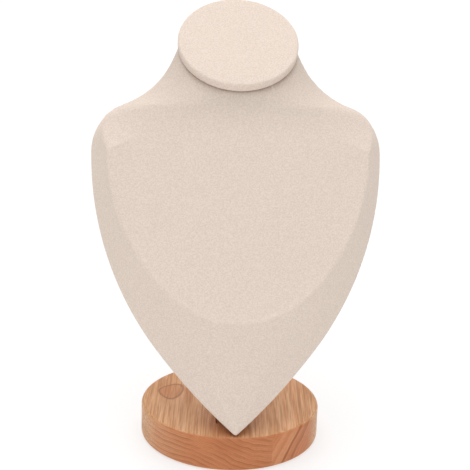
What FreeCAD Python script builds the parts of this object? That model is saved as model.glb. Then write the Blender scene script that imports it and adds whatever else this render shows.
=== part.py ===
import FreeCAD, Part
import os
from math import atan2, cos, pi, radians, sin, sqrt, tan
from FreeCAD import Placement, Rotation, Vector

# Necklace stand: a cloth-covered bust on a leaning wooden strip that plugs into a round wooden base.
# Millimetres, Z up, the front faces -Y. The origin is the middle of the underside, on the floor.
# The bust is drawn on its own leaning board: x across, y up the board, z out of its flat back.

# Round base and the felt under it
base_diameter = 111.6
base_thickness = 21.1
base_top_round = 2.5
base_foot_round = 2.0
pad_diameter = 98.0
pad_thickness = 1.2
pad_recess = 0.8

# Lean of the bust, and the foot of its back plane
lean = 20.0
back_foot_y = -41.6
back_foot_z = 18.4
point_clearance = 1.0

# Outline of the bust, from the point up one side to the neck
point_round = 1.6
point_angle = 41.8
low_side_radius = 361.0
low_side_angle = 52.6
bust_width = 172.8
shoulder_lift = 2.4
shoulder_radius = 28.0
shoulder_turn = 64.0
slope_run = 9.0
neck_flare_heading = 110.0

# Raised chest and the bevel round it
edge_height = 13.5
chest_height = 34.0
bevel_width = 10.6
chest_bottom = 65.5
chest_low_radius = 105.0
edge_round = 1.2
back_round = 1.2
chest_round = 3.0

# Neck, and where its front starts to turn and to swell on the way up from the widest level
neck_radius = 35.0
neck_length = 2.2
neck_tilt = 31.85
neck_turn_share = 0.56
neck_swell_share = 0.18
neck_fullness = 0.985
front_softening = 2.5
edge_softening = 3.0
back_softening = 1.5
back_narrowing = 0.8

# Cap on the neck
cap_overhang = 0.9
cap_thickness = 5.0
cap_round = 3.0

# Cloth, and how far it is turned over the back
cloth = 0.8
hem_width = 13.0

# Back panel, measured in from the outline of the back
panel_inset = 7.0
panel_thickness = 5.0
panel_top_width = 58.0
panel_point_round = 4.0
panel_top_round = 8.0

# Support strip and the slot that holds it
strip_width = 19.5
strip_thickness = 12.0
strip_drop = 7.0
strip_end_round = 6.0
strip_edge_round = 1.0
slot_floor = 6.0
slot_gap = 0.1
slot_play = 0.7

# Screws through the strip into the bust
screw_shares = (0.375, 0.74)
screw_diameter = 3.6
screw_length = 25.0
screw_head_diameter = 7.2
screw_head_depth = 2.2
screw_hole_gap = 0.15
screw_recess_width = 0.9
screw_recess_length = 4.0
screw_recess_depth = 1.3

# Values that follow from the ones above
base_foot = pad_thickness - pad_recess
base_top = base_foot + base_thickness
half_width = bust_width / 2
chest_half = half_width - bevel_width
slope_heading = pi / 2 + radians(shoulder_turn)
flare_end = radians(neck_flare_heading)
slope_end = half_width - shoulder_radius * (1 - sin(slope_heading)) + slope_run * cos(slope_heading)
neck_flare_radius = (slope_end - neck_radius) / (sin(flare_end) - sin(slope_heading))
shoulder_rise = shoulder_lift - shoulder_radius * cos(slope_heading) + slope_run * sin(slope_heading)
flare_rise = neck_flare_radius * (cos(flare_end) - cos(slope_heading))
neck_rise = shoulder_rise + flare_rise + neck_length
tilt = radians(neck_tilt)
edge_draw_in = 0.4
shoulder_steps = (0.0, 0.2, 0.4, 0.6, 0.8, 1.0)
flare_steps = (0.15, 0.32, 0.5, 0.68, 0.86, 1.0)
least_edge = 0.1
near = 0.01


def arc_step(x, y, radius, start, end):
    """Middle and end of an arc that turns left from one heading to another, in radians."""
    cx = x - radius * sin(start)
    cy = y + radius * cos(start)
    middle = (start + end) / 2
    points = []
    for heading in (middle, end):
        points.append((cx + radius * sin(heading), cy - radius * cos(heading)))
    return points


def side_chain(first_radius, second_radius, width, bottom):
    """Three tangent arcs from the middle of the bottom up to where the side stands upright."""
    first = radians(point_angle)
    second = radians(low_side_angle)
    x_low = first_radius * sin(first) + second_radius * (sin(second) - sin(first))
    side_radius = (width - x_low) / (1 - sin(second))
    turns = ((first_radius, 0, first), (second_radius, first, second), (side_radius, second, pi / 2))
    arcs = []
    x, y = 0.0, bottom
    for radius, start, end in turns:
        middle, last = arc_step(x, y, radius, start, end)
        arcs.append(((x, y), middle, last))
        x, y = last
    return arcs


def chain_top(arcs):
    return arcs[-1][2][1]


def bottom_radius(low_radius, width, height):
    """Radius of the first arc with which such a side reaches a width and a height."""
    first = radians(point_angle)
    second = radians(low_side_angle)
    steepness = cos(second) / (1 - sin(second))
    x_left = width - low_radius * (sin(second) - sin(first))
    y_left = height - low_radius * (cos(first) - cos(second))
    return (x_left * steepness - y_left) / (sin(first) * steepness - 1 + cos(first))


def arc_edge(arc, height):
    return Part.Arc(*[Vector(x, y, height) for x, y in arc]).toShape()


def mirrored(arc):
    return tuple((-x, y) for x, y in reversed(arc))


def closed_wire(arcs, top_points, height):
    """Closed wire from the bottom arcs, their mirror image and a row of points over the top."""
    start, middle, end = arcs[0]
    edges = [arc_edge((mirrored(arcs[0])[0], start, end), height)]
    edges += [arc_edge(arc, height) for arc in arcs[1:]]
    corners = [arcs[-1][2]] + top_points + [mirrored(arcs[-1])[0]]
    for (xa, ya), (xb, yb) in zip(corners[:-1], corners[1:]):
        edges.append(Part.makeLine(Vector(xa, ya, height), Vector(xb, yb, height)))
    edges += [arc_edge(mirrored(arc), height) for arc in reversed(arcs[1:])]
    return Part.Wire(edges)


def edges_along(body, height, top):
    """Edges that run at one height round the lower bust, without its straight top."""
    found = []
    for edge in body.Edges:
        box = edge.BoundBox
        flat = abs(box.ZMin - height) < near and abs(box.ZMax - height) < near
        if flat and box.YMin < top - near:
            found.append(edge)
    return found


class Sides:
    """Outline and chest edge of the bust, drawn in by an inset for the core under the cloth."""

    def __init__(self, inset):
        self.inset = inset
        self.width = half_width - inset
        self.arcs = side_chain(point_round - inset, low_side_radius - inset, self.width, inset)
        self.level = chain_top(self.arcs)
        chest_inset = inset * edge_draw_in
        chest_radius = bottom_radius(chest_low_radius, chest_half, self.level - chest_bottom)
        self.chest_half = chest_half - chest_inset
        self.chest = side_chain(chest_radius - chest_inset, chest_low_radius - chest_inset,
                                self.chest_half, 0.0)
        rise = self.level - chain_top(self.chest)
        self.chest = [tuple((x, y + rise) for x, y in arc) for arc in self.chest]
        self.edge = edge_height - inset * (1 - edge_draw_in)
        self.front = chest_height - inset


def lower_bust(sides):
    """Point, sides and bevel up to the widest level, with rounded edges."""
    top = sides.level + shoulder_radius
    outline = [(sides.width, top), (-sides.width, top)]
    chest = [(sides.chest_half, top), (-sides.chest_half, top)]
    foot = Part.Face(closed_wire(sides.arcs, outline, sides.inset))
    wall = foot.extrude(Vector(0, 0, sides.edge - sides.inset))
    bevel_foot = closed_wire(sides.arcs, outline, sides.edge)
    bevel_top = closed_wire(sides.chest, chest, sides.front)
    body = wall.fuse(Part.makeLoft([bevel_foot, bevel_top], True, True)).removeSplitter()
    rounds = ((sides.front, chest_round), (sides.edge, edge_round), (sides.inset, back_round))
    for height, radius in rounds:
        body = body.makeFillet(radius - sides.inset, edges_along(body, height, top))
    corner = Vector(-bust_width, sides.level, -chest_height)
    body = body.cut(Part.makeBox(2 * bust_width, top, 3 * chest_height, corner))
    return body.Solids[0]


def shoulder_line(sides):
    """Half width and level along the shoulder, its slope and the flare of the neck."""
    shoulder = shoulder_radius - sides.inset
    flare = neck_flare_radius + sides.inset
    line = [(sides.width, sides.level)]
    for step in shoulder_steps:
        heading = pi / 2 + (slope_heading - pi / 2) * step
        x = sides.width - shoulder * (1 - sin(heading))
        y = sides.level + shoulder_lift - shoulder * cos(heading)
        line.append((x, y))
    x += slope_run * cos(slope_heading)
    y += slope_run * sin(slope_heading)
    line.append((x, y))
    for step in flare_steps:
        heading = slope_heading + (flare_end - slope_heading) * step
        across = flare * (sin(heading) - sin(slope_heading))
        up = flare * (cos(heading) - cos(slope_heading))
        line.append((x - across, y + up))
    return line


def ring(front, back, widths, edge_share, reaches):
    """Closed section of the upper bust, in a plane that runs across from front to back."""
    depth = back - front
    half = zip(widths, (0, edge_share, 1))
    corners = [front + Vector(x, 0, 0) + depth * share for x, share in half]
    corners += [Vector(-corner.x, corner.y, corner.z) for corner in reversed(corners)]
    reaches = list(reaches) + [tuple(reversed(pair)) for pair in reversed(reaches)]
    arcs = []
    for index, (corner, (reach_in, reach_out)) in enumerate(zip(corners, reaches)):
        into = (corner - corners[index - 1]).normalize()
        out = (corners[(index + 1) % len(corners)] - corner).normalize()
        turn = into.getAngle(out)
        start = corner - into * reach_in
        end = corner + out * reach_out
        if reach_in == reach_out:
            bow = (out - into).normalize() * reach_in / tan(turn / 2) * (1 / cos(turn / 2) - 1)
            curve = Part.Arc(start, corner + bow, end)
        else:
            hold = 1 - 4 / 3 * tan(turn / 4) / tan(turn / 2)
            curve = Part.BezierCurve()
            curve.setPoles([start, corner - into * reach_in * hold, corner + out * reach_out * hold, end])
        arcs.append(curve.toShape())
    edges = []
    for index, arc in enumerate(arcs):
        edges.append(Part.makeLine(arcs[index - 1].Vertexes[-1].Point, arc.Vertexes[0].Point))
        edges.append(arc)
    return Part.Wire(edges)


def upper_bust(sides):
    """Shoulders and neck, from the widest level to the tilted top of the neck."""
    neck = neck_radius - sides.inset
    middle = Vector(0, sides.level + neck_rise, neck_radius * sin(tilt))
    half_top = Vector(0, cos(tilt), -sin(tilt)) * neck
    front_top = middle - half_top
    back_top = middle + half_top
    front_rise = front_top.y - sides.level
    turn_start = sides.level + neck_turn_share * front_rise
    turn_span = middle.y - turn_start
    slowing = 1 - (front_top.y - turn_start) / turn_span
    swell_start = sides.level + neck_swell_share * front_rise
    swell = (front_top.z - sides.front) / (front_top.y - swell_start) ** 2
    low_share = (sides.front - sides.edge) / (sides.front - sides.inset)
    sections = []
    for width, level in shoulder_line(sides) + [(neck, middle.y)]:
        rise = min(1.0, (level - sides.level) / neck_rise)
        turned = max(0, level - turn_start) / turn_span
        front_y = min(level, turn_start) + turn_span * (turned - slowing * turned ** 1.5)
        front_z = sides.front + swell * max(0, front_y - swell_start) ** 2
        share = low_share + (0.5 - low_share) * rise
        back_z = sides.inset + (back_top.z - sides.inset) * rise
        front = Vector(0, front_y, front_z)
        back = Vector(0, front_y + (level - front_y) / share, back_z)
        depth = (back - front).Length
        gap = (sides.width - sides.chest_half) * (1 - rise) + least_edge * rise
        bevel_turn = atan2(share * depth, gap)
        chest_reach = (chest_round - sides.inset) * tan(bevel_turn / 2)
        edge_reach = (edge_round - sides.inset) * tan((pi / 2 - bevel_turn) / 2)
        back_reach = back_round - sides.inset
        bulge = 4 * rise * (1 - rise)
        edge_reach += (least_edge - edge_reach) * rise + edge_softening * bulge
        softened = 1 - (1 - rise) ** front_softening
        full_chest = neck_fullness * (share * depth - edge_reach)
        full_front = neck_fullness * (width - gap)
        full_back = neck_fullness * ((1 - share) * depth - edge_reach)
        front_reach = chest_reach + (full_front - chest_reach) * softened
        chest_reach += (full_chest - chest_reach) * softened
        back_reach += (full_back - back_reach) * (1 - (1 - rise) ** back_softening)
        back_width = width * (1 - back_narrowing * rise ** 2 * (1 - rise))
        widths = (width - gap, width, back_width)
        reaches = ((front_reach, chest_reach), (edge_reach, edge_reach), (back_reach, back_reach))
        sections.append(ring(front, back, widths, share, reaches))
    return Part.makeLoft(sections, True, False)


def whole_bust(sides):
    body = lower_bust(sides).fuse(upper_bust(sides))
    return body.Solids[0]


def back_face(sides, inset):
    """Flat outline of the back up to the neck, drawn in by an inset."""
    start = sides.arcs[-1][2]
    middle, end = arc_step(*start, shoulder_radius, pi / 2, slope_heading)
    arcs = sides.arcs + [(start, middle, end)]
    top_half = panel_top_width / 2
    top = end[1] + (end[0] - top_half) * tan(pi - slope_heading)
    outline = closed_wire(arcs, [(top_half, top), (-top_half, top)], 0)
    return Part.Face(outline).makeOffset2D(-inset)


def upright_edges(body, low, high):
    """Edges that stand square to the board, between two levels up the board."""
    found = []
    for edge in body.Edges:
        box = edge.BoundBox
        if box.XLength < near and box.YLength < near and low < box.YMin < high:
            found.append(edge)
    return found


def back_plate(sides, inset, low, high):
    """Plate with the outline of the back, its point and top corners rounded."""
    drawn_in = inset - panel_inset
    plate = back_face(sides, inset).extrude(Vector(0, 0, high - low))
    plate.translate(Vector(0, 0, low))
    point = upright_edges(plate, 0, sides.level / 2)
    plate = plate.makeFillet(panel_point_round - drawn_in, point)
    corners = upright_edges(plate, sides.level, 2 * sides.level)
    corners = [edge for edge in corners if abs(edge.BoundBox.XMin) < panel_top_width / 2]
    return plate.makeFillet(panel_top_round - drawn_in, corners)


def disc(radius, low, high):
    return Part.makeCylinder(radius, high - low, Vector(0, 0, low))


def turned_disc(radius, low, high, foot_round, top_round):
    """Disc turned from its profile, with a rounded edge at the foot, at the top or at both."""
    points = [Vector(0, 0, low), Vector(radius - foot_round, 0, low), Vector(radius, 0, low + foot_round)]
    points += [Vector(radius, 0, high - top_round), Vector(radius - top_round, 0, high), Vector(0, 0, high)]
    edges = []
    for start, end in zip(points, points[1:] + points[:1]):
        chord = (start + end) / 2
        if start.x != end.x and start.z != end.z:
            corner = Vector(radius, 0, low if start.x < end.x else high)
            bow = corner + (chord - corner) * (2 - sqrt(2))
            edges.append(Part.Arc(start, bow, end).toShape())
        elif start != end:
            edges.append(Part.makeLine(start, end))
    return Part.Face(Part.Wire(edges)).revolve(Vector(0, 0, 0), Vector(0, 0, 1), 360)


def strip_block(gap, play, top):
    """The strip's section with a gap all round and some play to the left and the back, run up the back."""
    left = -strip_width / 2 - gap - play
    right = strip_width / 2 + gap
    front = -panel_thickness + gap
    back = -panel_thickness - strip_thickness - gap - play
    return Part.makeBox(right - left, 2 * top, front - back, Vector(left, -top, back))


def screw(level, gap):
    """Countersunk screw seen from the back, its axis square to the board."""
    face = -panel_thickness - strip_thickness
    shank = disc(screw_diameter / 2 + gap, face, face + screw_length)
    head = Part.makeCone(screw_head_diameter / 2 + gap, screw_diameter / 2 + gap, screw_head_depth)
    head.translate(Vector(0, 0, face))
    body = shank.fuse(head)
    body.translate(Vector(0, level, 0))
    return body.removeSplitter()


def cross_recess(level):
    face = -panel_thickness - strip_thickness
    arm = Part.makeBox(screw_recess_length, screw_recess_width, screw_recess_depth,
                       Vector(-screw_recess_length / 2, level - screw_recess_width / 2, face))
    return arm.fuse(arm.rotated(Vector(0, level, 0), Vector(0, 0, 1), 90))


# The leaning frame of the bust
board = Placement(Vector(0, back_foot_y, back_foot_z), Rotation(Vector(1, 0, 0), 90 - lean))
room_size = 4 * bust_width
room = Part.makeBox(room_size, room_size, room_size, Vector(-room_size / 2, -room_size / 2, 0))


def stood(body, lowest):
    """Put a piece of the bust in its leaning place and plane it level underneath."""
    body = body.copy()
    body.Placement = board.multiply(body.Placement)
    keep = room.copy()
    keep.translate(Vector(0, 0, lowest))
    return body.common(keep)


# Bust: the core fills the hem's opening at the back, and the cover is the skin round it
outer_sides = Sides(0.0)
core_sides = Sides(cloth)
point_level = base_top + point_clearance
strip_top = outer_sides.level - strip_drop
screw_places = [outer_sides.level * share for share in screw_shares]
bust = whole_bust(outer_sides)
filler = back_face(outer_sides, hem_width).extrude(Vector(0, 0, chest_round))
core = whole_bust(core_sides).fuse(filler)
neck_top = Placement(Vector(0, outer_sides.level + neck_rise, neck_radius * sin(tilt)),
                     Rotation(Vector(1, 0, 0), -neck_tilt))

# Cap: a board and the cloth drawn over its top and rim
cap_radius = neck_radius + cap_overhang
cap = turned_disc(cap_radius, 0, cap_thickness, 0, cap_round)
cap_board = turned_disc(cap_radius - cloth, 0, cap_thickness - cloth, 0, cap_round - cloth)
cap_cover = cap.cut(cap_board)
for piece in (cap_board, cap_cover):
    piece.Placement = neck_top

# Back panel and its cloth
panel = back_plate(outer_sides, panel_inset, -panel_thickness, 0)
panel_board = back_plate(outer_sides, panel_inset + cloth, -panel_thickness + cloth, 0)
panel_cover = panel.cut(panel_board)

# Screws, and the holes they need
screws = [screw(level, 0.0).cut(cross_recess(level)) for level in screw_places]
holes = Part.makeCompound([screw(level, screw_hole_gap) for level in screw_places])
panel_board = panel_board.cut(holes)
panel_cover = panel_cover.cut(holes)

# Strip: rounded top end and eased edges
strip = strip_block(0.0, 0.0, strip_top)
strip = strip.makeFillet(strip_end_round, upright_edges(strip, strip_top - 1, strip_top + 1))
strip_face = -panel_thickness - strip_thickness
strip_back = [edge for edge in strip.Edges if abs(edge.BoundBox.ZMax - strip_face) < near]
strip = strip.makeFillet(strip_edge_round, strip_back).cut(holes)

# Base, its slot and the felt
base = turned_disc(base_diameter / 2, base_foot, base_top, base_foot_round, base_top_round)
pad = disc(pad_diameter / 2, 0, pad_thickness)
slot = stood(strip_block(slot_gap, slot_play, strip_top), slot_floor)

core = stood(core, point_level + cloth)
nodes = {
    "base": base.cut(slot).cut(pad),
    "base_pad": pad,
    "support_strip": stood(strip, slot_floor),
    "strip_screws": stood(Part.makeCompound(screws), 0),
    "bust_core": core.cut(stood(holes, 0)),
    "bust_cover": stood(bust, point_level).cut(core),
    "back_panel": stood(panel_board, 0),
    "back_panel_cover": stood(panel_cover, 0),
    "cap_board": stood(cap_board, 0),
    "cap_cover": stood(cap_cover, 0),
}

os.makedirs("parts", exist_ok=True)
for name, shape in nodes.items():
    solids = shape.Solids
    shape = solids[0] if len(solids) == 1 else Part.makeCompound(solids)
    shape.exportStep("parts/" + name + ".step")
    box = shape.BoundBox
    print(name, len(solids), shape.isValid(), round(shape.Volume, 1), len(shape.Faces), box)
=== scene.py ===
from math import cos, pi, radians, sin

import bmesh
import bpy
from mathutils import Matrix, Vector, noise
from mathutils.bvhtree import BVHTree


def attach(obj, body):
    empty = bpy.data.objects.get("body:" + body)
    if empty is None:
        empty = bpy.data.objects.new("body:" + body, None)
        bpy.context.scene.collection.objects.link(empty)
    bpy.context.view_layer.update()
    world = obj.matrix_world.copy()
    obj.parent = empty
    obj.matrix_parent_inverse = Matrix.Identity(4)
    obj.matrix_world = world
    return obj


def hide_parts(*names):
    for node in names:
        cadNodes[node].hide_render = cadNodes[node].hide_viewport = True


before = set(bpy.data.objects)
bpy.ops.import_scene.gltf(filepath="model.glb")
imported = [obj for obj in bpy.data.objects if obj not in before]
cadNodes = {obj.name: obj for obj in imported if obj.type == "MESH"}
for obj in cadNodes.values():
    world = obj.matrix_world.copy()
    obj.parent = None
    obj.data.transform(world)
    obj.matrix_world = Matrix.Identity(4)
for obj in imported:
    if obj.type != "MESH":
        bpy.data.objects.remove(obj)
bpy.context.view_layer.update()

mm = 0.001
print("frame loaded:", ", ".join(sorted(cadNodes)))


# Small helpers for meshes

weldDistance = 0.001 * mm


def mergedCopy(*nodeNames):
    shape = bmesh.new()
    for nodeName in nodeNames:
        shape.from_mesh(cadNodes[nodeName].data)
    bmesh.ops.remove_doubles(shape, verts=shape.verts, dist=weldDistance)
    return shape


def newPiece(pieceName, shape):
    mesh = bpy.data.meshes.new(pieceName)
    shape.to_mesh(mesh)
    shape.free()
    mesh.shade_smooth()
    piece = bpy.data.objects.new(pieceName, mesh)
    bpy.context.scene.collection.objects.link(piece)
    return piece


def keepResult(piece):
    graph = bpy.context.evaluated_depsgraph_get()
    mesh = bpy.data.meshes.new_from_object(piece.evaluated_get(graph))
    piece.modifiers.clear()
    piece.data = mesh
    mesh.shade_smooth()


# Small helpers for materials

def newMaterial(materialName):
    material = bpy.data.materials.new(materialName)
    material.use_nodes = True
    return material


def addNode(material, kind, inputs=(), **settings):
    node = material.node_tree.nodes.new("ShaderNode" + kind)
    for key, value in settings.items():
        setattr(node, key, value)
    for key, value in dict(inputs).items():
        if isinstance(value, bpy.types.NodeSocket):
            material.node_tree.links.new(value, node.inputs[key])
        else:
            node.inputs[key].default_value = value
    return node


def calc(material, operation, *values):
    inputs = {index: value for index, value in enumerate(values)}
    return addNode(material, "Math", inputs, operation=operation).outputs[0]


def blendColours(material, factor, first, second, blendType="MIX"):
    node = addNode(material, "Mix", data_type="RGBA", blend_type=blendType)
    for index, value in ((0, factor), (6, first), (7, second)):
        if isinstance(value, bpy.types.NodeSocket):
            material.node_tree.links.new(value, node.inputs[index])
        else:
            node.inputs[index].default_value = value
    return node.outputs[2]


def ramp(material, factor, low, high, smooth=True):
    mode = "SMOOTHSTEP" if smooth else "LINEAR"
    inputs = {0: factor, 1: low, 2: high}
    return addNode(material, "MapRange", inputs, interpolation_type=mode).outputs[0]


def noiseOn(material, place, scale, detail=2.0, roughness=0.5, distortion=0.0):
    inputs = {"Vector": place, "Scale": scale, "Detail": detail, "Roughness": roughness,
              "Distortion": distortion}
    return addNode(material, "TexNoise", inputs).outputs[0]


def objectPlace(material, location=(0, 0, 0), rotation=(0, 0, 0), scale=(1, 1, 1)):
    place = addNode(material, "TexCoord").outputs["Object"]
    inputs = {"Vector": place, "Location": location, "Rotation": rotation, "Scale": scale}
    return addNode(material, "Mapping", inputs).outputs[0]


def screenColour(red, green, blue):
    channels = []
    for value in (red, green, blue):
        share = value / 255
        channels.append(share / 12.92 if share <= 0.04045 else ((share + 0.055) / 1.055) ** 2.4)
    return (*channels, 1.0)


def bumpOf(material, height, strength, distance):
    inputs = {"Height": height, "Strength": strength, "Distance": distance}
    return addNode(material, "Bump", inputs).outputs[0]


def finish(material, **inputs):
    shader = material.node_tree.nodes["Principled BSDF"]
    for key, value in inputs.items():
        name = key.replace("_", " ")
        if isinstance(value, bpy.types.NodeSocket):
            material.node_tree.links.new(value, shader.inputs[name])
        else:
            shader.inputs[name].default_value = value
    return material


def dress(piece, material):
    piece.data.materials.clear()
    piece.data.materials.append(material)


# Napped cloth: near-matt, with a fine grain and a cloudy nap; the bust's cloth also gets painted shade round
# the neck

cloth = {
    "light": screenColour(245, 229, 216),
    "shade": screenColour(230, 213, 199),
    "grainSize": 0.8 * mm,
    "grainRange": (0.3, 0.7),
    "grainShare": 0.85,  # the rest is the cloudy nap
    "cloudSize": 26 * mm,
    "bumpStrength": 0.6,
    "bumpDepth": 0.14 * mm,
    "neckShadeRise": (192 * mm, 226 * mm),  # painted shade: the cloth colour is darkened over this height round the neck, where shade falls under the cap
    "neckShadeTone": screenColour(239, 239, 239),
}


def napCloth(materialName, paintNeckShade):
    material = newMaterial(materialName)
    place = objectPlace(material)
    grain = noiseOn(material, place, 1 / cloth["grainSize"], 1.0, 0.5)
    clouds = noiseOn(material, place, 1 / cloth["cloudSize"], 1.0, 0.5)
    cloudy = calc(material, "MULTIPLY", clouds, 1 - cloth["grainShare"])
    grainy = ramp(material, grain, *cloth["grainRange"])
    mix = calc(material, "MULTIPLY_ADD", grainy, cloth["grainShare"], cloudy)
    colour = blendColours(material, mix, cloth["light"], cloth["shade"])
    # painted shade: towards the top of the neck the cloth colour is multiplied darker, standing in for the
    # shade under the cap
    if paintNeckShade:
        rise = addNode(material, "SeparateXYZ", {0: place}).outputs[2]
        darker = blendColours(material, 1.0, colour, cloth["neckShadeTone"], "MULTIPLY")
        colour = blendColours(material, ramp(material, rise, *cloth["neckShadeRise"]), colour, darker)
    bump = bumpOf(material, grain, cloth["bumpStrength"], cloth["bumpDepth"])
    return finish(material, Base_Color=colour, Normal=bump, Roughness=0.94, Sheen_Weight=0.08,
                  Sheen_Roughness=0.45, Sheen_Tint=screenColour(255, 246, 238),
                  Specular_IOR_Level=0.12)


suede = napCloth("suedeCloth", False)
# the bust's cloth carries the painted shade round the neck
bustSuede = napCloth("bustSuede", True)
print("cloth finished")


# Cloth skins: the CAD cover is remeshed to an even net, relaxed on its own surface and given
# its thickness

def raiseFold(piece, plane, skin):
    point, forwards = plane
    shape = bmesh.new()
    shape.from_mesh(piece.data)
    shape.verts.ensure_lookup_table()
    nextTo = [[edge.other_vert(vert).index for edge in vert.link_edges] for vert in shape.verts]
    weights = []  # near 1 along the fold round the chest, 0 elsewhere
    for vert, others in zip(shape.verts, nextTo):
        middle = sum((shape.verts[index].co for index in others), Vector()) / len(others)
        bend = (vert.co - middle).dot(vert.normal) / skin["foldBend"]
        inFront = (vert.co - point).dot(forwards) > skin["foldLevel"]
        weights.append(min(1.0, max(0.0, bend - 1.0)) if inFront else 0.0)
    for _ in range(skin["foldSteps"]):
        weights = [(weight + sum(weights[index] for index in others) / len(others)) / 2
                   for weight, others in zip(weights, nextTo)]
    for vert, weight in zip(shape.verts, weights):
        vert.co += vert.normal * weight * skin["foldRise"]
    shape.to_mesh(piece.data)
    shape.free()


def relaxedSkin(pieceName, coverNode, boardNode, skin):
    whole = newPiece(pieceName + "Whole", mergedCopy(coverNode, boardNode))
    piece = newPiece(pieceName, mergedCopy(coverNode, boardNode))
    net = piece.modifiers.new("net", "REMESH")
    net.mode = "VOXEL"
    net.voxel_size = skin["netSize"]
    keepResult(piece)

    cover = BVHTree.FromBMesh(mergedCopy(coverNode))
    shape = bmesh.new()
    shape.from_mesh(piece.data)
    bare = []  # where the board itself lies open
    for vert in shape.verts:
        if cover.find_nearest(vert.co)[3] > skin["thickness"]:
            bare.append(vert)
    bmesh.ops.delete(shape, geom=bare, context="VERTS")
    shape.to_mesh(piece.data)
    shape.free()

    relax = piece.modifiers.new("relax", "SMOOTH")
    relax.factor = 0.5
    relax.iterations = skin["relaxSteps"]
    wrap = piece.modifiers.new("wrap", "SHRINKWRAP")
    wrap.target = whole
    keepResult(piece)
    bpy.data.objects.remove(whole)
    return piece


def levelRim(piece, coverNode, point, outwards, skin):
    cover = BVHTree.FromBMesh(mergedCopy(coverNode))
    shape = bmesh.new()
    shape.from_mesh(piece.data)
    whole = shape.verts[:] + shape.edges[:] + shape.faces[:]
    cutPoint = point - outwards * skin["rimCut"]
    cut = bmesh.ops.bisect_plane(shape, geom=whole, plane_co=cutPoint, plane_no=outwards, clear_outer=True)
    cutVerts = [item for item in cut["geom_cut"] if isinstance(item, bmesh.types.BMVert)]
    bmesh.ops.remove_doubles(shape, verts=cutVerts, dist=skin["rimWeld"])
    shape.normal_update()

    rim = []
    for edge in shape.edges:
        fromPlane = [abs((vert.co - cutPoint).dot(outwards)) for vert in edge.verts]
        if edge.is_boundary and max(fromPlane) < weldDistance:
            rim.append(edge)
    grown = bmesh.ops.extrude_edge_only(shape, edges=rim)["geom"]
    top = [item for item in grown if isinstance(item, bmesh.types.BMVert)]
    for vert in top:
        nextTo = [edge.other_vert(vert) for edge in vert.link_edges]
        normal = [other.normal for other in nextTo if other not in top][0]
        along = outwards - normal * outwards.dot(normal)  # on in the surface's own direction
        vert.co += along * (skin["rimCut"] - skin["rimGap"]) / along.dot(outwards)
        sideways = (normal - outwards * outwards.dot(normal)).normalized()
        wall = cover.ray_cast(vert.co + sideways * skin["rimCut"], -sideways)[0]
        if wall:
            vert.co = wall
    shape.to_mesh(piece.data)
    shape.free()


def giveThickness(piece, thickness):
    wall = piece.modifiers.new("wall", "SOLIDIFY")
    wall.thickness = thickness
    wall.offset = -1.0
    keepResult(piece)


# Cover of the bust: stretched over the shaped core, cut off level at the top of the neck

upwards = Vector((0, 0, 1))
capTilt = radians(38.15)  # lean of the neck's top towards the front
capTurn = Matrix.Rotation(capTilt, 4, "X")
capFlat = [capTurn.inverted() @ vert.co for vert in cadNodes["cap_board"].data.vertices]
capMiddle = (min(place.y for place in capFlat) + max(place.y for place in capFlat)) / 2
capSeat = Vector((0, capMiddle, min(place.z for place in capFlat)))
capFrame = capTurn @ Matrix.Translation(capSeat)
neckTop = (capTurn @ capSeat, capTurn @ upwards)

boardLean = radians(20)  # lean of the bust's flat back
boardTurn = Matrix.Rotation(pi / 2 - boardLean, 4, "X")
boardFront = boardTurn @ upwards
flatBack = max((vert.co for vert in cadNodes["back_panel"].data.vertices), key=boardFront.dot)
backPlane = (flatBack, boardFront)

bustSkin = {
    "thickness": 0.8 * mm,
    "netSize": 1.2 * mm,
    "relaxSteps": 2,
    "rimCut": 2.6 * mm,  # the net's uneven rim goes, and a level one grows in its place
    "rimGap": 0.1 * mm,
    "rimWeld": 0.4 * mm,
    "foldBend": 0.012 * mm,  # a net point that stands out by more than this is on the fold
    "foldLevel": 17 * mm,
    "foldSteps": 2,
    "foldRise": 0.55 * mm,
    "flat": (0.27, 0.33),
    "area": 0.047,
}

bustCover = relaxedSkin("bustCover", "bust_cover", "bust_core", bustSkin)
raiseFold(bustCover, backPlane, bustSkin)
levelRim(bustCover, "bust_cover", *neckTop, bustSkin)
giveThickness(bustCover, bustSkin["thickness"])
dress(bustCover, bustSuede)
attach(bustCover, "root")
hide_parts("bust_cover")
print("bust cover:", len(bustCover.data.polygons), "faces")


# Back panel's cover, the same cloth over a thin board

panelSkin = {
    "thickness": 0.8 * mm,
    "netSize": 1.2 * mm,
    "relaxSteps": 2,
    "rimCut": 2.4 * mm,
    "rimGap": 0.05 * mm,
    "rimWeld": 0.4 * mm,
    "flat": (0.172, 0.2),
    "area": 0.0236,
}

panelCover = relaxedSkin("backPanelCover", "back_panel_cover", "back_panel", panelSkin)
levelRim(panelCover, "back_panel_cover", *backPlane, panelSkin)
giveThickness(panelCover, panelSkin["thickness"])
dress(panelCover, suede)
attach(panelCover, "root")
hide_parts("back_panel_cover")
print("back panel cover:", len(panelCover.data.polygons), "faces")


# Cap's cover: drawn over the top and down the rim, a touch fuller in the middle

capSkin = {
    "radius": 35.9 * mm,
    "height": 5.0 * mm,
    "thickness": 0.8 * mm,
    "edgeRound": 1.4 * mm,
    "crown": 0.25 * mm,
    "steps": 144,
    "rings": 12,
    "roundTurns": (15, 30, 45, 60, 75, 90),
    "rimLevels": (0.5 * mm, 0.0),
    "unevenness": 0.12 * mm,
    "unevenScale": 60,
    "flat": (0.082, 0.082),
    "area": 0.00528,
}


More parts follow.
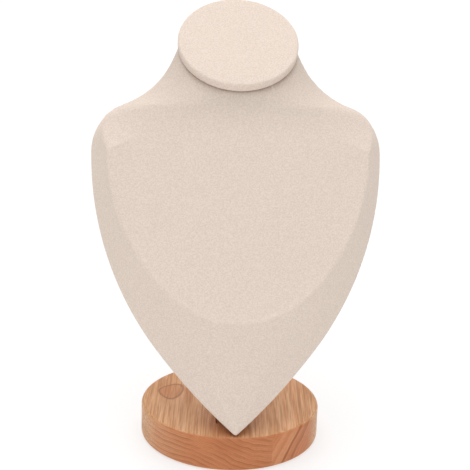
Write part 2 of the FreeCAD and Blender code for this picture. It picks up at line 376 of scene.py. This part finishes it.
def capCloth(skin):
    shape = bmesh.new()
    radius = skin["radius"] - skin["edgeRound"]
    height = skin["height"]
    row = []
    for ring in range(skin["rings"] + 1):
        share = ring / skin["rings"]
        row.append(shape.verts.new((radius * share, 0, height + skin["crown"] * (1 - share ** 2))))
    for turn in skin["roundTurns"]:
        across = skin["edgeRound"] * sin(radians(turn))
        down = skin["edgeRound"] * (1 - cos(radians(turn)))
        row.append(shape.verts.new((radius + across, 0, height - down)))
    for level in skin["rimLevels"]:
        row.append(shape.verts.new((skin["radius"], 0, level)))
    for first, second in zip(row, row[1:]):
        shape.edges.new((first, second))
    bmesh.ops.spin(shape, geom=shape.verts[:] + shape.edges[:], cent=(0, 0, 0), axis=(0, 0, 1),
                   angle=2 * pi, steps=skin["steps"], use_merge=True)
    bmesh.ops.remove_doubles(shape, verts=shape.verts, dist=weldDistance)
    bmesh.ops.recalc_face_normals(shape, faces=shape.faces)
    if sum(face.normal.z for face in shape.faces) < 0:
        bmesh.ops.reverse_faces(shape, faces=shape.faces)
    for vert in shape.verts:
        lift = noise.noise(vert.co * skin["unevenScale"]) * skin["unevenness"]
        vert.co += vert.co.normalized() * lift * min(1.0, vert.co.z / height)
    shape.transform(capFrame)
    return newPiece("capCover", shape)


capCover = capCloth(capSkin)
giveThickness(capCover, capSkin["thickness"])
dress(capCover, suede)
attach(capCover, "root")
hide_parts("cap_cover")
print("cap cover:", len(capCover.data.polygons), "faces")


# Felt under the base

feltPad = {
    "radius": 49 * mm,
    "height": 1.2 * mm,
    "edgeRound": 0.35 * mm,
    "steps": 128,
    "dark": screenColour(58, 52, 47),
    "pale": screenColour(84, 76, 69),
    "fibreSize": 0.6 * mm,
    "bumpDepth": 0.2 * mm,
    "flat": (0.098, 0.098),
    "area": 0.00754,
}

felt = newMaterial("felt")
place = objectPlace(felt)
fibres = noiseOn(felt, place, 1 / feltPad["fibreSize"], 4.0, 0.7, 0.8)
feltTone = blendColours(felt, ramp(felt, fibres, 0.3, 0.7), feltPad["dark"], feltPad["pale"])
finish(felt, Base_Color=feltTone, Normal=bumpOf(felt, fibres, 0.8, feltPad["bumpDepth"]), Roughness=0.96,
       Sheen_Weight=0.3, Specular_IOR_Level=0.1)

shape = bmesh.new()
bmesh.ops.create_cone(shape, cap_ends=True, segments=feltPad["steps"], radius1=feltPad["radius"],
                      radius2=feltPad["radius"], depth=feltPad["height"])
rims = [edge for edge in shape.edges if abs(edge.verts[0].co.z - edge.verts[1].co.z) < weldDistance]
bmesh.ops.bevel(shape, geom=rims, offset=feltPad["edgeRound"], offset_type="OFFSET", segments=2,
                profile=0.5, affect="EDGES", material=-1)
bmesh.ops.translate(shape, verts=shape.verts, vec=(0, 0, feltPad["height"] / 2))
basePad = newPiece("basePad", shape)
dress(basePad, felt)
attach(basePad, "root")
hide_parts("base_pad")
print("felt pad done")


# Wood, in millimetres: growth rings and pores run through the solid along its own grain direction,
# so flat faces show streaks and cut ends show rings. The base is glued up: the rings of its left
# part fall to one side, those of its right part stand steeply

wood = {
    "pale": screenColour(240, 196, 152),
    "tan": screenColour(224, 172, 124),
    "red": screenColour(192, 114, 68),
    "endTone": screenColour(208, 124, 74),
    "endPale": screenColour(226, 162, 118),
    "dark": screenColour(126, 70, 40),
    "pore": screenColour(172, 108, 62),
    "grainTurn": 4.2,
    "joint": 26.0,  # where the left part meets the right one
    "slow": ((1, 0.18, 1), 0.06, 2.0),  # stretch, scale, detail and roughness of each noise
    "patches": ((0.4, 0.2, 1.6), 0.13, 2.0),
    "fine": ((1, 0.05, 1), 1.0, 3.0, 0.6),
    "pores": ((1, 0.022, 1), 1.7, 2.0),
    "broad": ((1, 0.1, 1), 0.14, 3.0, 0.6),
    "ringRise": 2.0,
    "ringDrop": 0.84,
    "leftFall": 17.0,
    "leftReach": (-31.0, 31.0),
    "leftGap": 3.2,
    "leftWarp": 1.8,
    "leftShare": 0.9,
    "leftFineGap": 3.2 / 2.7,
    "leftFineWarp": 5.0,
    "leftFineShare": 0.45,
    "rightSlope": 1.8,
    "rightBend": 3.0,
    "rightGap": 2.7,
    "rightWarp": 2.0,
    "rightShare": 0.5,
    "rightBands": ((22.4, 1.5, -0.75), (28.4, 2.0, -0.9), (31.4, 0.8, 0.8), (36.5, 1.2, 0.5)),
    "bandEdge": (0.7, -0.5),  # past each band's half width
    "fineShare": 0.4,
    "cutEndFacing": (0.3, 0.6),
    "endShare": 0.8,
    "endPaleReach": (-18.0, -50.0),
    "heart": (0.5, 19.0),
    "heartReach": (15.0, 3.0),
    "heartWarp": 10.0,
    "heartShare": 0.45,
    "ringShare": (0.35, 0.55),  # on flat faces, and what cut ends add to it
    "ringTone": 0.45,
    "lightRingShare": 0.6,
    "poreRange": (0.42, 0.64),
    "poreShare": (0.55, -0.4),
    "knotCentre": (-38.2, 8.8),
    "knotTurn": 12.0,
    "knotHalf": (7.4, 10.6),
    "knotTaper": 0.35,
    "knotWarp": 1.5,
    "knotEdge": (0.5, -0.5),
    "knotInside": 0.35,
    "knotLine": (1.1, 0.1),
    "knotLineShare": 0.5,
    "knotDepth": (18.5, 20.5),
    "bumpStrength": 0.25,
    "bumpDepth": 0.08 * mm,
}


def stretched(material, vector, factors):
    inputs = {0: vector, 1: factors}
    return addNode(material, "VectorMath", inputs, operation="MULTIPLY").outputs[0]


def streaks(material, solid, factors, *settings):
    return noiseOn(material, stretched(material, solid, factors), *settings)


def product(material, *values):
    result = values[0]
    for value in values[1:]:
        result = calc(material, "MULTIPLY", result, value)
    return result


def limited(material, value, factor):
    inputs = {0: value, 1: factor}
    return addNode(material, "Math", inputs, operation="MULTIPLY", use_clamp=True).outputs[0]


def distanceFrom(material, first, second):
    squares = calc(material, "ADD", product(material, first, first), product(material, second, second))
    return calc(material, "POWER", squares, 0.5)


def ringLines(material, depth, gap, wobble):
    phase = calc(material, "FRACT", calc(material, "MULTIPLY_ADD", depth, 1 / gap, wobble))
    rise = calc(material, "POWER", phase, wood["ringRise"])
    drop = ramp(material, phase, 1.0, wood["ringDrop"])
    return calc(material, "MULTIPLY", rise, drop)


def leftRings(material, solid, x, z, warp):
    fall = ramp(material, x, *wood["leftReach"])
    depth = calc(material, "MULTIPLY_ADD", fall, wood["leftFall"], z)
    broad = ringLines(material, depth, wood["leftGap"], product(material, warp, wood["leftWarp"]))
    narrow = ringLines(material, depth, wood["leftFineGap"], product(material, warp, wood["leftFineWarp"]))
    patches = ramp(material, streaks(material, solid, *wood["patches"]), 0.3, 0.6)
    broad = product(material, broad, patches, wood["leftShare"])
    return calc(material, "MULTIPLY_ADD", narrow, wood["leftFineShare"], broad)


def rightRings(material, x, z, warp):
    bend = product(material, warp, wood["rightBend"])
    depth = calc(material, "ADD", calc(material, "MULTIPLY_ADD", z, -1 / wood["rightSlope"], bend), x)
    wobble = product(material, warp, wood["rightWarp"])
    rings = product(material, ringLines(material, depth, wood["rightGap"], wobble), wood["rightShare"])
    outer, inner = wood["bandEdge"]
    for centre, half, share in wood["rightBands"]:
        fromBand = calc(material, "ABSOLUTE", calc(material, "SUBTRACT", depth, centre))
        band = ramp(material, fromBand, half + outer, half + inner)
        rings = calc(material, "MULTIPLY_ADD", band, share, rings)
    return rings


def knotDistance(material, x, y, warp):
    turn = radians(wood["knotTurn"])
    centreX, centreY = wood["knotCentre"]
    halfX, halfY = wood["knotHalf"]
    besideX = calc(material, "SUBTRACT", x, centreX)
    besideY = calc(material, "SUBTRACT", y, centreY)
    across = product(material, besideY, -sin(turn) / halfX)
    across = calc(material, "MULTIPLY_ADD", besideX, cos(turn) / halfX, across)
    along = product(material, besideX, sin(turn) / halfY)
    along = calc(material, "MULTIPLY_ADD", besideY, cos(turn) / halfY, along)
    taper = calc(material, "MULTIPLY_ADD", across, wood["knotTaper"], 1.0)
    along = calc(material, "DIVIDE", along, taper)
    away = calc(material, "SUBTRACT", distanceFrom(material, across, along), 1.0)
    return calc(material, "MULTIPLY_ADD", away, halfX, product(material, warp, wood["knotWarp"]))


def withKnot(material, colour, x, y, z, warp):
    away = knotDistance(material, x, y, warp)
    nearTop = ramp(material, z, *wood["knotDepth"])
    inside = product(material, ramp(material, away, *wood["knotEdge"]), nearTop, wood["knotInside"])
    onLine = ramp(material, calc(material, "ABSOLUTE", away), *wood["knotLine"])
    line = product(material, onLine, nearTop, wood["knotLineShare"])
    colour = blendColours(material, inside, colour, wood["red"])
    return blendColours(material, line, colour, wood["dark"])


def woodMaterial(materialName, knot, endShare):
    material = newMaterial(materialName)
    solid = objectPlace(material, rotation=(0, 0, radians(wood["grainTurn"])), scale=(1 / mm,) * 3)
    x, y, z = addNode(material, "SeparateXYZ", {0: solid}).outputs
    warp = calc(material, "SUBTRACT", streaks(material, solid, *wood["slow"]), 0.5)
    left = leftRings(material, solid, x, z, warp)
    right = rightRings(material, x, z, warp)
    onRight = calc(material, "GREATER_THAN", x, wood["joint"])
    rings = addNode(material, "Mix", {0: onRight, 2: left, 3: right}).outputs[0]
    fine = streaks(material, solid, *wood["fine"])
    pores = ramp(material, streaks(material, solid, *wood["pores"]), *wood["poreRange"])
    broad = streaks(material, solid, *wood["broad"])

    normal = addNode(material, "TexCoord").outputs["Normal"]
    facing = calc(material, "ABSOLUTE", addNode(material, "SeparateXYZ", {0: normal}).outputs[1])
    cutEnd = calc(material, "MULTIPLY", ramp(material, facing, *wood["cutEndFacing"]), endShare)
    heartX, heartZ = wood["heart"]
    besideX = calc(material, "SUBTRACT", x, heartX)
    besideZ = calc(material, "SUBTRACT", z, heartZ)
    fromHeart = distanceFrom(material, besideX, besideZ)
    fromHeart = calc(material, "MULTIPLY_ADD", warp, wood["heartWarp"], fromHeart)
    heart = ramp(material, fromHeart, *wood["heartReach"])

    colour = blendColours(material, ramp(material, broad, 0.3, 0.7), wood["pale"], wood["tan"])
    fineShare = product(material, ramp(material, fine, 0.4, 0.7), wood["fineShare"])
    colour = blendColours(material, fineShare, colour, wood["red"])
    toEdge = ramp(material, x, *wood["endPaleReach"])
    endTone = blendColours(material, toEdge, wood["endTone"], wood["endPale"])
    colour = blendColours(material, product(material, cutEnd, wood["endShare"]), colour, endTone)
    colour = blendColours(material, product(material, heart, wood["heartShare"]), colour, wood["red"])

    onFlat, onEnd = wood["ringShare"]
    ringShare = calc(material, "MULTIPLY_ADD", cutEnd, onEnd, onFlat)
    ringTone = blendColours(material, wood["ringTone"], wood["red"], wood["dark"])
    lighter = product(material, limited(material, rings, -1.0), wood["lightRingShare"])
    colour = blendColours(material, lighter, colour, wood["endPale"])
    darker = product(material, limited(material, rings, 1.0), ringShare)
    colour = blendColours(material, darker, colour, ringTone)
    onFlat, onEnd = wood["poreShare"]
    poreShare = calc(material, "MULTIPLY_ADD", cutEnd, onEnd, onFlat)
    colour = blendColours(material, product(material, pores, poreShare), colour, wood["pore"])
    if knot:
        colour = withKnot(material, colour, x, y, z, calc(material, "SUBTRACT", fine, 0.5))
    height = calc(material, "MULTIPLY_ADD", pores, -1.0, fine)
    bump = bumpOf(material, height, wood["bumpStrength"], wood["bumpDepth"])
    return finish(material, Base_Color=colour, Normal=bump, Roughness=0.52, Specular_IOR_Level=0.3,
                  Coat_Weight=0.1, Coat_Roughness=0.35)


baseWood = woodMaterial("baseWood", True, 1.0)
stripWood = woodMaterial("stripWood", False, 0.3)
print("wood finished")


# Boards inside the bust, and the screws

boards = {
    "pale": screenColour(176, 140, 102),
    "dark": screenColour(142, 108, 76),
    "fleckSize": 1.2 * mm,
    "bumpDepth": 0.1 * mm,
}

coreBoard = newMaterial("coreBoard")
place = objectPlace(coreBoard)
flecks = noiseOn(coreBoard, place, 1 / boards["fleckSize"], 4.0, 0.7)
tone = blendColours(coreBoard, ramp(coreBoard, flecks, 0.3, 0.7), boards["pale"], boards["dark"])
finish(coreBoard, Base_Color=tone, Normal=bumpOf(coreBoard, flecks, 0.3, boards["bumpDepth"]), Roughness=0.8)

steel = {
    "colour": screenColour(196, 190, 178),
    "scratchSize": 0.5 * mm,
    "roughRange": (-0.6, 2.2),
}

screwSteel = newMaterial("screwSteel")
place = objectPlace(screwSteel)
scratches = noiseOn(screwSteel, place, 1 / steel["scratchSize"], 3.0, 0.6)
roughness = ramp(screwSteel, scratches, *steel["roughRange"])
finish(screwSteel, Base_Color=steel["colour"], Metallic=1.0, Roughness=roughness)

finishes = {
    "base": baseWood,
    "support_strip": stripWood,
    "strip_screws": screwSteel,
    "bust_core": coreBoard,
    "back_panel": coreBoard,
    "cap_board": coreBoard,
}
for nodeName, material in finishes.items():
    dress(cadNodes[nodeName], material)
print("boards and screws finished")


# Floor, light and camera

studio = {
    "floorSize": 24.0,
    "floorTone": (0.4, 0.4, 0.4, 1.0),
    "floorGlow": 0.6,
    "worldGlow": 0.3,
    "softness": 60,
    "suns": {  # heading, height, strength
        "above": (0, 75, 1.34),
        "front": (0, 45, 0.16),
        "left": (-60, 60, 0.24),
        "behind": (180, 60, 1.15),
    },
}

floorPaint = newMaterial("floorPaint")
finish(floorPaint, Base_Color=studio["floorTone"], Roughness=0.9, Specular_IOR_Level=0.1,
       Emission_Color=(1, 1, 1, 1), Emission_Strength=studio["floorGlow"])
shape = bmesh.new()
bmesh.ops.create_grid(shape, x_segments=1, y_segments=1, size=studio["floorSize"] / 2)
floor = newPiece("floor", shape)
dress(floor, floorPaint)

world = bpy.data.worlds.new("studio")
world.use_nodes = True
background = world.node_tree.nodes["Background"]
background.inputs["Color"].default_value = (1, 1, 1, 1)
background.inputs["Strength"].default_value = studio["worldGlow"]
bpy.context.scene.world = world

for sunName, (heading, height, strength) in studio["suns"].items():
    sun = bpy.data.lights.new(sunName, "SUN")
    sun.energy = strength
    sun.angle = radians(studio["softness"])
    sunObject = bpy.data.objects.new(sunName, sun)
    sunObject.rotation_euler = (radians(90 - height), 0, radians(heading))
    bpy.context.scene.collection.objects.link(sunObject)

view = {
    "place": Vector((-48.11, -638.65, 319.89)) * mm,
    "heading": radians(4.319),
    "downward": radians(16.522),
    "roll": radians(1.7365),
    "lens": 84.255,
    "sensor": 36,
}
camera = bpy.data.cameras.new("camera")
camera.lens = view["lens"]
camera.sensor_width = view["sensor"]
cameraObject = bpy.data.objects.new("camera", camera)
turn = Matrix.Rotation(-view["heading"], 4, "Z") @ Matrix.Rotation(pi / 2 - view["downward"], 4, "X")
cameraObject.matrix_world = Matrix.Translation(view["place"]) @ turn @ Matrix.Rotation(view["roll"], 4, "Z")
bpy.context.scene.collection.objects.link(cameraObject)
bpy.context.scene.camera = cameraObject
bpy.context.scene.view_settings.view_transform = "Standard"
print("studio ready")
